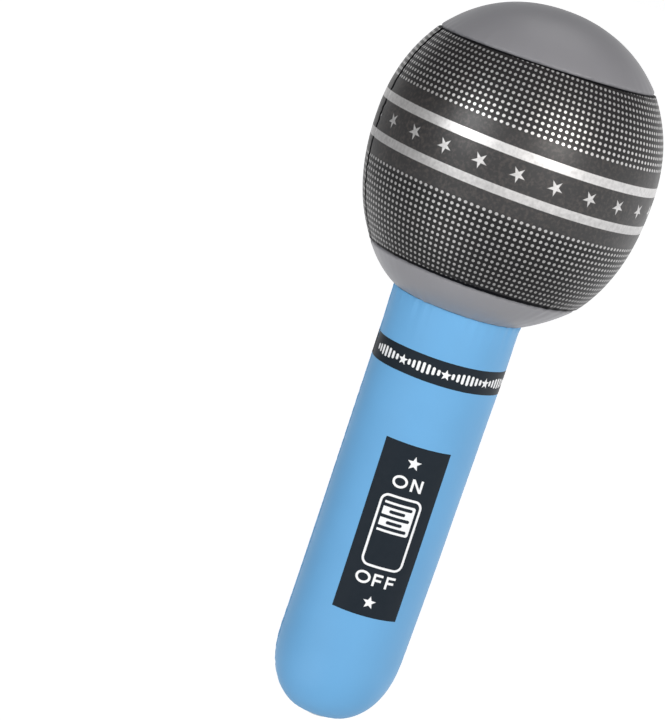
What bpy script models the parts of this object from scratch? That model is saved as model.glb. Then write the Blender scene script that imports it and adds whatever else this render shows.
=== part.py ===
"""Inflatable toy microphone: welded vinyl film panels with an air valve in the end of the handle.

The toy stands upright, head up, with its label towards -Y. Every panel is a thin sheet with a
weld lip turned inwards along each seam. The valve stem slides out of the end of the handle,
the stopper swings on a strap from the stem, and a film flap inside the stem keeps the air in.
"""
import math

import bpy

# Driving dimensions in metres. Heights are measured up from the lowest point of the toy.
TOTAL_LENGTH = 0.2500
GRIP_HEIGHT = 0.0730          # the origin, where a hand holds the handle

HEAD_RADIUS = 0.0471          # at its widest
WIDEST_HEIGHT = 0.1999
LOWER_HEAD_DEPTH = 0.0559     # how far the lower half of the head would reach without a neck
UPPER_HEAD_POWER = 2.12       # superellipse powers: over 2 is fuller than a round ball
LOWER_HEAD_POWER = 2.27
CAP_SEAM_HEIGHT = 0.2334
COLLAR_SEAM_HEIGHT = 0.1599

NECK_RADIUS = 0.0220
HANDLE_END_RADIUS = 0.02136   # where the rounded end of the handle starts
ROUND_END_HEIGHT = 0.0276
ROUND_END_POWER = 2.41

FILM = 0.0003                 # vinyl film thickness
SEAM_GAP = 0.0003             # between neighbouring pieces
WELD_LIP = 0.0025             # width of the weld lip inside each seam
NECK_LIP_TILT = math.radians(30)  # the neck's lips point inwards and this much up
SEGMENTS = 48                 # around the head and the handle
HEAD_TURN = math.tau / SEGMENTS   # the head's side seams stand this far round from the handle's
VALVE_SEGMENTS = 32

PATCH_RADIUS = 0.0103         # round film patch in the end of the handle
PATCH_HOLE_RADIUS = 0.0058
PATCH_FLOOR_RADIUS = 0.0088   # the patch is a shallow dish, flat inside this radius
PATCH_FLOOR_HEIGHT = 0.0026

FLANGE_RADIUS = 0.0096
FLANGE_BOTTOM = 0.0032
FLANGE_TOP = 0.0040
FLANGE_COLLAR_RADIUS = 0.0054
FLANGE_COLLAR_BOTTOM = 0.0025
FLANGE_COLLAR_TOP = 0.0046
SLIDE_GAP = 0.0004            # between the stem and the hole that it slides in

STEM_RADIUS = 0.0040
STEM_BORE_RADIUS = 0.0024
STEM_BOTTOM = 0.0016
STEM_TOP = 0.0144
STEM_SHOULDER_RADIUS = 0.0052
STEM_SHOULDER_HEIGHT = 0.0010

STOPPER_RADIUS = 0.0050
STOPPER_THICKNESS = 0.0013
PLUG_ROOT_RADIUS = 0.0021
PLUG_TIP_RADIUS = 0.0013
PLUG_LENGTH = 0.0035
STRAP_WIDTH = 0.0030
STRAP_THICKNESS = 0.0006
STRAP_END = 0.0072            # where the straps of the stem and the stopper stop
STRAP_PIVOT = 0.0075          # distance of the strap's bend from the valve's axis

FLAP_RADIUS = 0.0034
FLAP_HINGE = -0.0036
FLAP_ROOT_HALF_WIDTH = 0.0020
CHAMFER = 0.0003

UPPER_HEAD_DEPTH = TOTAL_LENGTH - WIDEST_HEIGHT
HALF_GAP = SEAM_GAP / 2


def clear_scene():
    for item in list(bpy.data.objects):
        bpy.data.objects.remove(item, do_unlink=True)


def plastic(name, colour, roughness):
    """A vinyl or moulded plastic material, as a Principled BSDF."""
    material = bpy.data.materials.new(name)
    material.use_nodes = True
    shader = material.node_tree.nodes["Principled BSDF"]
    shader.inputs["Base Color"].default_value = (*colour, 1.0)
    shader.inputs["Roughness"].default_value = roughness
    shader.inputs["Metallic"].default_value = 0.0
    return material


def curve_points(radius, depth, power, start, end, steps):
    """(radius, depth) points along a quarter superellipse, evenly spread by angle.

    start and end are depths from the widest place, where the radius is largest.
    """
    first = math.asin((start / depth) ** (power / 2))
    last = math.asin(min(end / depth, 1.0) ** (power / 2))
    angles = [first + (last - first) * k / steps for k in range(steps + 1)]
    return [(radius * math.cos(angle) ** (2 / power), depth * math.sin(angle) ** (2 / power))
            for angle in angles]


def upper_head(low, high, steps):
    points = curve_points(HEAD_RADIUS, UPPER_HEAD_DEPTH, UPPER_HEAD_POWER,
                          low - WIDEST_HEIGHT, high - WIDEST_HEIGHT, steps)
    return [(radius, WIDEST_HEIGHT + depth) for radius, depth in points]


def lower_head(low, high, steps):
    points = curve_points(HEAD_RADIUS, LOWER_HEAD_DEPTH, LOWER_HEAD_POWER,
                          WIDEST_HEIGHT - high, WIDEST_HEIGHT - low, steps)
    return [(radius, WIDEST_HEIGHT - depth) for radius, depth in reversed(points)]


def neck_height():
    """Where the lower half of the head has come in to the radius of the neck."""
    share = 1 - (NECK_RADIUS / HEAD_RADIUS) ** LOWER_HEAD_POWER
    return WIDEST_HEIGHT - LOWER_HEAD_DEPTH * share ** (1 / LOWER_HEAD_POWER)


def round_end_height(radius):
    """Height of the rounded end of the handle at a radius."""
    share = (radius / HANDLE_END_RADIUS) ** ROUND_END_POWER
    return ROUND_END_HEIGHT * (1 - (1 - share) ** (1 / ROUND_END_POWER))


def cap_profile():
    """The plain cap: from its seam up to the crown, on the axis."""
    rows = upper_head(CAP_SEAM_HEIGHT + HALF_GAP, TOTAL_LENGTH, 8)
    return rows[:-1] + [(0.0, TOTAL_LENGTH)]


def grille_profile():
    """The dotted panels: from the collar seam, over the widest place, up to the cap seam."""
    lower = lower_head(COLLAR_SEAM_HEIGHT + HALF_GAP, WIDEST_HEIGHT, 7)
    upper = upper_head(WIDEST_HEIGHT, CAP_SEAM_HEIGHT - HALF_GAP, 6)
    return lower + upper[1:]


def collar_profile():
    return lower_head(neck_height() + HALF_GAP, COLLAR_SEAM_HEIGHT - HALF_GAP, 4)


def handle_profile():
    """The handle: from the edge of the end patch, round the end, and up to the neck."""
    edge_height = round_end_height(PATCH_RADIUS + SEAM_GAP)
    points = curve_points(HANDLE_END_RADIUS, ROUND_END_HEIGHT, ROUND_END_POWER,
                          0.0, ROUND_END_HEIGHT - edge_height, 7)
    rounded = [(radius, ROUND_END_HEIGHT - depth) for radius, depth in reversed(points[1:])]
    rows = 5
    top = neck_height() - HALF_GAP
    tube = [(HANDLE_END_RADIUS + (NECK_RADIUS - HANDLE_END_RADIUS) * k / rows,
             ROUND_END_HEIGHT + (top - ROUND_END_HEIGHT) * k / rows) for k in range(rows + 1)]
    return rounded + tube


def inward(profile, row):
    """Unit vector into the toy, square to the profile at one of its points."""
    before = profile[max(row - 1, 0)]
    after = profile[min(row + 1, len(profile) - 1)]
    run = after[0] - before[0]
    rise = after[1] - before[1]
    length = math.hypot(run, rise)
    return (-rise / length, run / length)


def mesh_object(name, keys, place, faces, material, parent, origin=(0.0, 0.0, 0.0)):
    """An object whose vertices are named by keys; its mesh is relative to its origin."""
    order = {key: index for index, key in enumerate(keys)}
    points = []
    for key in keys:
        x, y, z = place(key)
        points.append((x - origin[0], y - origin[1], z - origin[2]))
    mesh = bpy.data.meshes.new(name)
    mesh.from_pydata(points, [], [[order[key] for key in face] for face in faces])
    mesh.materials.append(material)
    mesh.validate()
    mesh.shade_smooth()
    mesh.set_sharp_from_angle(angle=math.radians(40))
    item = bpy.data.objects.new(name, mesh)
    bpy.context.scene.collection.objects.link(item)
    item.location = origin
    item.parent = parent
    return item


def film_panel(name, profile, material, parent, lips, turn=(0.0, math.tau), seam_offset=0.0):
    """A sheet of film swept round the axis, with its weld lips, given its thickness inwards.

    lips holds the (radial, upward) directions of the lips on the lower and the upper edge, or
    None for an edge without one. A panel of less than a full turn also has a lip on each side,
    and stands seam_offset away from the plane of its side seams.
    """
    full = turn[1] - turn[0] > 6.28
    columns = SEGMENTS if full else SEGMENTS // 2
    rows = len(profile) - 1
    first_row = -1 if lips[0] else 0
    last_row = rows + 1 if lips[1] else rows
    first_column = 0 if full else -1
    last_column = columns if full else columns + 1

    def key(column, row):
        inside = row < 0 or row > rows or (not full and not 0 <= column <= columns)
        row = min(max(row, 0), rows)
        column = column % columns if full else min(max(column, 0), columns)
        if profile[row][0] == 0.0:
            column = 0
        return (column, row, inside)

    def place(vertex):
        column, row, inside = vertex
        radius, height = profile[row]
        if inside:
            direction = inward(profile, row)
            if row == 0 and lips[0]:
                direction = lips[0]
            if row == rows and lips[1]:
                direction = lips[1]
            radius += WELD_LIP * direction[0]
            height += WELD_LIP * direction[1]
        angle = turn[0] + (turn[1] - turn[0]) * column / columns
        return (radius * math.cos(angle), radius * math.sin(angle) + seam_offset, height)

    faces = []
    for column in range(first_column, last_column):
        for row in range(first_row, last_row):
            corners = [key(column, row), key(column + 1, row),
                       key(column + 1, row + 1), key(column, row + 1)]
            corners = list(dict.fromkeys(corners))
            if len(corners) > 2:
                faces.append(corners)
    keys = sorted({corner for face in faces for corner in face})
    item = mesh_object(name, keys, place, faces, material, parent)
    sheet = item.modifiers.new("film", "SOLIDIFY")
    sheet.thickness = FILM
    sheet.offset = -1.0
    sheet.use_even_offset = True
    return item


def turned(name, outline, material, parent, origin=(0.0, 0.0, 0.0), centre=0.0):
    """A solid turned round an upright axis.

    The outline runs up its outer side. It either closes on itself or starts and ends on the axis.
    """
    on_axis = outline[0][0] == 0.0
    rows = len(outline) - 1 if on_axis else len(outline)

    def key(column, row):
        row = row if on_axis else row % rows
        return (0 if outline[row][0] == 0.0 else column % VALVE_SEGMENTS, row)

    def place(vertex):
        radius, height = outline[vertex[1]]
        angle = math.tau * vertex[0] / VALVE_SEGMENTS
        return (centre + radius * math.cos(angle), radius * math.sin(angle), height)

    faces = []
    for column in range(VALVE_SEGMENTS):
        for row in range(rows):
            corners = [key(column, row), key(column + 1, row),
                       key(column + 1, row + 1), key(column, row + 1)]
            faces.append(list(dict.fromkeys(corners)))
    keys = sorted({corner for face in faces for corner in face})
    return mesh_object(name, keys, place, faces, material, parent, origin)


def extruded(name, outline, bottom, top, material, parent, origin=(0.0, 0.0, 0.0)):
    """A flat piece with a level top and bottom; its outline runs anticlockwise seen from above."""
    count = len(outline)

    def place(vertex):
        x, y = outline[vertex[0]]
        return (x, y, (bottom, top)[vertex[1]])

    faces = [[(k, 0) for k in reversed(range(count))], [(k, 1) for k in range(count)]]
    for k in range(count):
        following = (k + 1) % count
        faces.append([(k, 0), (following, 0), (following, 1), (k, 1)])
    keys = [(k, level) for k in range(count) for level in (0, 1)]
    return mesh_object(name, keys, place, faces, material, parent, origin)


def join_strap(body, start, bottom, material, parent):
    """Unite a piece with a strap that runs out from the valve's axis towards the bend."""
    half = STRAP_WIDTH / 2
    outline = [(start, -half), (STRAP_END, -half), (STRAP_END, half), (start, half)]
    strap = extruded(body.name + "_strap_guide", outline, bottom, bottom + STRAP_THICKNESS,
                     material, parent)
    strap.hide_render = True
    strap.display_type = "WIRE"
    union = body.modifiers.new("strap", "BOOLEAN")
    union.operation = "UNION"
    union.solver = "EXACT"
    union.object = strap


def build_head(toy, grey, charcoal):
    collar_lip = inward(grille_profile(), 0)
    cap_lip = inward(cap_profile(), 0)
    neck_lip = (-math.cos(NECK_LIP_TILT), math.sin(NECK_LIP_TILT))
    film_panel("head_top_cap", cap_profile(), grey, toy, (cap_lip, None))
    front = film_panel("head_front_panel", grille_profile(), charcoal, toy,
                       (collar_lip, cap_lip), (math.pi, math.tau), -HALF_GAP)
    back = film_panel("head_back_panel", grille_profile(), charcoal, toy,
                      (collar_lip, cap_lip), (0.0, math.pi), HALF_GAP)
    front.rotation_euler.z = HEAD_TURN
    back.rotation_euler.z = HEAD_TURN
    film_panel("head_collar", collar_profile(), grey, toy, (neck_lip, collar_lip))


def build_handle(toy, blue):
    neck_lip = (-math.cos(NECK_LIP_TILT), math.sin(NECK_LIP_TILT))
    film_panel("handle_front_panel", handle_profile(), blue, toy, ((0.0, 1.0), neck_lip),
               (math.pi, math.tau), -HALF_GAP)
    film_panel("handle_back_panel", handle_profile(), blue, toy, ((0.0, 1.0), neck_lip),
               (0.0, math.pi), HALF_GAP)


def build_end_patch(toy, blue):
    """A shallow dish of film that holds the valve, recessed so that the valve lies flush."""
    slope_radius = (PATCH_RADIUS + PATCH_FLOOR_RADIUS) / 2
    rim_height = round_end_height(PATCH_RADIUS)
    slope_height = rim_height + (PATCH_FLOOR_HEIGHT - rim_height) * 0.7
    profile = [(PATCH_HOLE_RADIUS, PATCH_FLOOR_HEIGHT), (PATCH_FLOOR_RADIUS, PATCH_FLOOR_HEIGHT),
               (slope_radius, slope_height), (PATCH_RADIUS, rim_height)]
    film_panel("handle_end_patch", profile, blue, toy, (None, (0.0, 1.0)))


def build_flange(toy, clear):
    """The moulded ring that is welded inside the patch and guides the stem."""
    hole = STEM_RADIUS + SLIDE_GAP
    outline = [(hole, FLANGE_COLLAR_BOTTOM), (FLANGE_COLLAR_RADIUS, FLANGE_COLLAR_BOTTOM),
               (FLANGE_COLLAR_RADIUS, FLANGE_BOTTOM), (FLANGE_RADIUS, FLANGE_BOTTOM),
               (FLANGE_RADIUS, FLANGE_TOP - CHAMFER), (FLANGE_RADIUS - CHAMFER, FLANGE_TOP),
               (FLANGE_COLLAR_RADIUS, FLANGE_TOP),
               (FLANGE_COLLAR_RADIUS - CHAMFER, FLANGE_COLLAR_TOP), (hole, FLANGE_COLLAR_TOP)]
    turned("valve_flange", outline, clear, toy)


def build_stem(slider, clear):
    """The mouth tube, with a strap root at its outer end and a stop shoulder at its inner end."""
    shoulder = STEM_TOP - STEM_SHOULDER_HEIGHT
    outline = [(STEM_BORE_RADIUS, STEM_BOTTOM), (STEM_RADIUS, STEM_BOTTOM),
               (STEM_RADIUS, shoulder), (STEM_SHOULDER_RADIUS, shoulder),
               (STEM_SHOULDER_RADIUS, STEM_TOP - CHAMFER),
               (STEM_SHOULDER_RADIUS - CHAMFER, STEM_TOP), (STEM_BORE_RADIUS, STEM_TOP)]
    stem = turned("valve_stem", outline, clear, slider)
    wall_middle = (STEM_BORE_RADIUS + STEM_RADIUS) / 2
    join_strap(stem, wall_middle, STEM_BOTTOM + CHAMFER / 2, clear, slider)


def build_stopper(slider, clear):
    """The plug and its thumb disc. Its origin is the bend of the strap, which it swings about."""
    pivot = (STRAP_PIVOT, 0.0, (STOPPER_THICKNESS + STEM_BOTTOM) / 2)
    outline = [(0.0, 0.0), (STOPPER_RADIUS - CHAMFER, 0.0), (STOPPER_RADIUS, CHAMFER),
               (STOPPER_RADIUS, STOPPER_THICKNESS), (PLUG_ROOT_RADIUS, STOPPER_THICKNESS),
               (PLUG_TIP_RADIUS, STOPPER_THICKNESS + PLUG_LENGTH - CHAMFER),
               (PLUG_TIP_RADIUS - CHAMFER, STOPPER_THICKNESS + PLUG_LENGTH),
               (0.0, STOPPER_THICKNESS + PLUG_LENGTH)]
    stopper = turned("valve_stopper", outline, clear, slider, origin=pivot)
    join_strap(stopper, STOPPER_RADIUS / 2, CHAMFER, clear, slider)


def build_flap(slider, film):
    """The film tongue over the inner end of the stem. Its origin is on its hinge line."""
    bottom = STEM_TOP + SEAM_GAP
    root_angle = math.pi - math.asin(FLAP_ROOT_HALF_WIDTH / FLAP_RADIUS)
    steps = 20
    round_part = [(FLAP_RADIUS * math.cos(angle), FLAP_RADIUS * math.sin(angle))
                  for angle in (-root_angle + 2 * root_angle * k / steps
                                for k in range(steps + 1))]
    outline = round_part + [(FLAP_HINGE, FLAP_ROOT_HALF_WIDTH), (FLAP_HINGE, -FLAP_ROOT_HALF_WIDTH)]
    extruded("valve_check_flap", outline, bottom, bottom + FILM, film, slider,
             origin=(FLAP_HINGE, 0.0, STEM_TOP + SEAM_GAP / 2))


def main():
    clear_scene()
    grey = plastic("grey_vinyl", (0.27, 0.27, 0.30), 0.32)
    charcoal = plastic("charcoal_vinyl", (0.055, 0.052, 0.056), 0.30)
    blue = plastic("blue_vinyl", (0.16, 0.44, 0.74), 0.30)
    clear = plastic("valve_vinyl", (0.62, 0.66, 0.70), 0.35)
    film = plastic("flap_film", (0.70, 0.74, 0.78), 0.25)

    toy = bpy.data.objects.new("microphone", None)
    toy.location = (0.0, 0.0, -GRIP_HEIGHT)
    slider = bpy.data.objects.new("stem_slide", None)
    slider.parent = toy
    for empty in (toy, slider):
        bpy.context.scene.collection.objects.link(empty)

    build_head(toy, grey, charcoal)
    build_handle(toy, blue)
    build_end_patch(toy, blue)
    build_flange(toy, clear)
    build_stem(slider, clear)
    build_stopper(slider, clear)
    build_flap(slider, film)


main()
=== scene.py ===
"""Looks of the inflatable toy microphone: printed vinyl film, welded seams and the air valve.

The film is built as turned surfaces, whose profiles follow the CAD outline, with creases and
puckers along the welds. A point of the film is given by its angle round the toy and its
distance along the profile. Lengths are in millimetres until a mesh is made.
"""
import math
import random

import bmesh
import bpy
import numpy as np
from mathutils import Matrix, Vector


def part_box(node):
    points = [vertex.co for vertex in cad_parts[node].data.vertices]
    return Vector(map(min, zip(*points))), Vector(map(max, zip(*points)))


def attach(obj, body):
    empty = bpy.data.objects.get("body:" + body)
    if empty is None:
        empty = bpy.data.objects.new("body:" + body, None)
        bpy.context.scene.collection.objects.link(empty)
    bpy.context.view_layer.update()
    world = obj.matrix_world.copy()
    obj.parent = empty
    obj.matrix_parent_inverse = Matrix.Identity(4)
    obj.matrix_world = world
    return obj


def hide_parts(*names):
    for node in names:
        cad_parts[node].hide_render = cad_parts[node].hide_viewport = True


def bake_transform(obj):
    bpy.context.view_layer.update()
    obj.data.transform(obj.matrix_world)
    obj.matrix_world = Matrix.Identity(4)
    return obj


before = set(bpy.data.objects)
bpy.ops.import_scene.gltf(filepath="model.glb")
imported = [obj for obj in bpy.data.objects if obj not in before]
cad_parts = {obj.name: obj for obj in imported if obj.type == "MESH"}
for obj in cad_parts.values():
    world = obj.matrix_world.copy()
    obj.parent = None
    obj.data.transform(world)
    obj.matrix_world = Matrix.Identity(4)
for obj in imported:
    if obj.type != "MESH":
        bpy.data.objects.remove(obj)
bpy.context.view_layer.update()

MM = 0.001
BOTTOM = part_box("valve_stopper")[0].z  # world height of the toy's lowest point
TOTAL = (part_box("head_top_cap")[1].z - BOTTOM) / MM

# The head. Heights are above the toy's lowest point.
HEAD_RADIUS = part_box("head_front_panel")[1].x / MM
WIDEST = 199.9
UPPER_DEPTH = TOTAL - WIDEST
LOWER_DEPTH = 55.9
UPPER_POWER = 2.12
LOWER_POWER = 2.27
CAP_SEAM = 233.4
CAP_SEAM_SLOPE = 0.019        # rise of the cap's seam towards +lean, per unit across
COLLAR_SEAM = 159.9
HEAD_SEAMS = (math.radians(-82.5), math.radians(97.5))

# The handle.
NECK_RADIUS = 22.0
END_RADIUS = 21.36
ROUND_END = 27.6
ROUND_POWER = 2.41
PATCH_RADIUS = 10.3
HANDLE_SEAMS = (math.radians(-90), math.radians(90))

# How the soft toy holds itself: bent a little at the grip and leaning at the neck.
LEAN_WAY = math.radians(-9.9)
HEAD_LEAN = math.radians(1.26)
HEAD_SHIFT = 1.4
SHIFT_RISE = 15.0             # the shift grows over this height above the neck
LEAN_RISE = 12.0              # the lean grows over this height below the neck
HANDLE_BEND = 1.63

# Film and welds.
FILM = 0.3
WELD_GAP = 0.012
CREASE_DEPTH = 0.55
CREASE_WIDTH = 0.95
NECK_CREASE = 0.12
HANDLE_SIDE_CREASE = 0.4
WELD_FADE = 0.55              # how far a weld's dark mark runs, darker film and painted shade of its crease
NECK_PALER = 0.7              # added to distances from the neck's weld: a paler mark there
COLLAR_SHARE = 0.6            # distances above the collar count for less: a wider black edge there, part print margin and part painted shade
LIP = 1.1

# Gathers beside the welds: how high they stand and how far they run.
HEAD_GATHERS = (0.13, 3.5)
HEAD_SIDE_GATHERS = (0.14, 3.0)
COLLAR_NECK_GATHERS = (0.18, 4.0)
HANDLE_NECK_GATHERS = (0.15, 4.5)
NECK_NICKS = (0.22, 1.6)
HANDLE_SIDE_GATHERS = (0.12, 2.6)
ROUND_END_GATHERS = (0.06, 2.5)
PATCH_GATHERS = (0.05, 1.2)
GATHER_START = 0.6            # they rise over this distance from the weld
HEAD_SIDE_RUN = 30.0          # mm along the seam for each radian of the gathers' wave
HANDLE_SIDE_RUN = 26.0
PANEL_END = 0.8               # the side seam's crease fades out this close to a panel's ends

# Long soft folds of the handle and broad swells of all the film. They fade out at the ends.
FOLD_HEIGHT = 0.14
FOLD_TWIST = 900.0            # mm of height in which the folds turn by a radian
SWELL_HEIGHT = 0.05
SWELL_RUN = 32.0              # mm along the profile for each radian of the swells' wave
SWELL_SHIFT = 40.0            # added along the handle, so that its swells differ from the head's
CROWN_CALM = 20.0
ROUND_END_CALM = 30.0

# The print on the head.
PRINT_SLOPE = 0.022           # the print's rings run down towards +lean, per unit across
DOT_COLUMN = math.radians(2.55)
DOT_ROW = 1.95
DOT_HALF = (0.275, 0.26)      # half a dot's size, in columns and rows
FIRST_COLUMN = math.radians(8.5)
FIRST_ROW_ABOVE = 213.1
FIRST_ROW_BELOW = 186.1
STRIPES = ((206.0, 1.5), (193.2, 1.45))  # middle height and half width
STAR_HEIGHT = 199.75
STAR_COLUMNS = 6              # dot columns from star to star
STAR_TIP = 2.6
STAR_NOTCH = 0.96

# The print on the handle.
LABEL_MIDDLE = 73.25
LABEL_SIZE = (23.1, 59.9)
LABEL_SKEW = math.radians(-0.048)  # turn per mm of height
BAND_MIDDLE = 128.65
BAND_HEIGHT = 8.2
INK = 0.045                   # thickness of a coat of ink
GROUND_LIFT = 0.03            # the dark ink's back above the film
MARK_LIFT = 0.06              # the white ink's back above the film

# Mesh spacing, beside a weld and away from it.
ROW_SPACING = (0.12, 1.15)
HEAD_COLUMNS = (0.14, 1.1)
HANDLE_COLUMNS = (0.14, 0.8)
RING_COLUMNS = 300

# The camera, fitted to the photo's outline and print; angles in degrees.
CAMERA_YAW = -2.411
CAMERA_FALL = 11.102
CAMERA_ROLL = -17.933
CAMERA_DISTANCE = 794.87
CAMERA_HEIGHT = 273.45        # above the toy's lowest point
CAMERA_LENS = 122.06

# The stage, in metres.
FLOOR_DROP = 0.85             # from the toy's lowest point down to the floor
FLOOR_HALF = 60.0
FLOOR_GLOW = (1.1, 1.9)       # distances from under the toy where the glow starts to rise and is full
FLOOR_DIM = 0.33              # glow under the toy
FLOOR_RISE = 0.57             # how much the glow rises
FLOOR_LEFT = (-3.2, -0.9)     # where the floor is darkest on the left and where that ends
ROOM_LEFT = (-0.75, -0.25)    # the same for the room, by the X of a direction
LEFT_LIGHT = 0.26             # brightness on the left, against 1 elsewhere
LIGHT_AIM = 0.06              # world height that the lights face, just below the neck


# ---- camera, light and stage ----

def camera():
    """The camera looks slightly down and is rolled, so that the upright toy lies aslant."""
    yaw, fall, roll = (math.radians(angle) for angle in (CAMERA_YAW, CAMERA_FALL, CAMERA_ROLL))
    forward = Vector((math.sin(yaw) * math.cos(fall), math.cos(yaw) * math.cos(fall), -math.sin(fall)))
    level = Vector((math.cos(yaw), -math.sin(yaw), 0.0))
    down = forward.cross(level)
    right = math.cos(roll) * level + math.sin(roll) * down
    upward = math.sin(roll) * level - math.cos(roll) * down
    place = Vector((HANDLE_BEND, -CAMERA_DISTANCE, CAMERA_HEIGHT)) * MM
    data = bpy.data.cameras.new("photo_camera")
    data.lens = CAMERA_LENS
    data.sensor_width = 36.0
    data.clip_start = 0.05
    data.clip_end = 200.0
    item = bpy.data.objects.new("photo_camera", data)
    bpy.context.scene.collection.objects.link(item)
    pose = Matrix((right, upward, -forward)).transposed().to_4x4()
    pose.translation = place
    item.matrix_world = Matrix.Translation((0, 0, BOTTOM)) @ Matrix.Rotation(LEAN_WAY, 4, "Z") @ pose
    bpy.context.scene.camera = item


def softbox(name, azimuth, elevation, distance, size, power, colour=(1.0, 1.0, 1.0)):
    """A square area light that faces the neck, in degrees, metres and watts.

    Azimuth 0 is on the label's side.
    """
    data = bpy.data.lights.new(name, "AREA")
    data.shape = "SQUARE"
    data.size = size
    data.energy = power
    data.color = colour
    item = bpy.data.objects.new(name, data)
    bpy.context.scene.collection.objects.link(item)
    turn, rise = math.radians(azimuth), math.radians(elevation)
    away = Vector((math.sin(turn) * math.cos(rise), -math.cos(turn) * math.cos(rise), math.sin(rise)))
    item.location = Vector((0.0, 0.0, LIGHT_AIM)) + away * distance
    item.rotation_euler = away.to_track_quat("Z", "Y").to_euler()


def studio():
    """A pale room, darker overhead and on the left, with four soft lights."""
    world = bpy.data.worlds.new("studio")
    bpy.context.scene.world = world
    world.use_nodes = True
    tree = world.node_tree
    place = tree.nodes.new("ShaderNodeTexCoord")
    split = tree.nodes.new("ShaderNodeSeparateXYZ")
    ramp = tree.nodes.new("ShaderNodeValToRGB")
    ramp.color_ramp.interpolation = "EASE"
    low, overhead = ramp.color_ramp.elements
    low.position, low.color = 0.04, (1.0, 1.0, 1.0, 1.0)
    overhead.position, overhead.color = 0.70, (0.16, 0.163, 0.175, 1.0)
    tree.links.new(place.outputs["Generated"], split.inputs[0])
    tree.links.new(split.outputs["Z"], ramp.inputs[0])
    tree.links.new(ramp.outputs["Color"], tree.nodes["Background"].inputs["Color"])
    leftness = tree.nodes.new("ShaderNodeMapRange")
    leftness.interpolation_type = "SMOOTHSTEP"
    for name, end in zip(("From Min", "From Max", "To Min", "To Max"), (*ROOM_LEFT, LEFT_LIGHT, 1.0)):
        leftness.inputs[name].default_value = end
    tree.links.new(split.outputs["X"], leftness.inputs["Value"])
    tree.links.new(leftness.outputs["Result"], tree.nodes["Background"].inputs["Strength"])
    softbox("soft_light_left", -50, 17, 1.1, 0.45, 4.2)
    softbox("soft_light_right", 20, 25, 1.1, 0.45, 4.4, (1.0, 0.96, 0.92))
    softbox("soft_light_top", 170, 70, 1.3, 0.7, 1.6)
    softbox("soft_light_low", -50, -35, 0.95, 0.6, 1.1)


def floor():
    """A plain pale floor, well below the hand that would hold the toy.

    It glows less under the toy and on the left, so that the toy's underside and left are shaded.
    """
    mesh = bpy.data.meshes.new("floor")
    corners = [(x, y, 0.0) for x, y in box_outline(FLOOR_HALF, FLOOR_HALF)]
    mesh.from_pydata(corners, [], [(0, 1, 2, 3)])
    item = bpy.data.objects.new("floor", mesh)
    item.location.z = BOTTOM - FLOOR_DROP
    bpy.context.scene.collection.objects.link(item)
    pale = Graph("pale_floor")
    pale.set("Base Color", (0.6, 0.6, 0.6, 1.0))
    pale.set("Roughness", 0.9)
    pale.set("Emission Color", (1.0, 1.0, 1.0, 1.0))
    reach = pale.tree.nodes.new("ShaderNodeVectorMath")
    reach.operation = "LENGTH"
    split = pale.tree.nodes.new("ShaderNodeSeparateXYZ")
    place = pale.tree.nodes.new("ShaderNodeTexCoord").outputs["Object"]
    pale.tree.links.new(place, reach.inputs[0])
    pale.tree.links.new(place, split.inputs[0])
    away = pale.step(reach.outputs["Value"], *FLOOR_GLOW)
    glow = pale.math("MULTIPLY_ADD", away, FLOOR_RISE, FLOOR_DIM)
    right = pale.step(split.outputs["X"], *FLOOR_LEFT)
    glow = pale.math("MULTIPLY", glow, pale.between(right, LEFT_LIGHT, 1.0))
    pale.set("Emission Strength", glow)
    mesh.materials.append(pale.material)


# ---- materials ----

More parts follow.
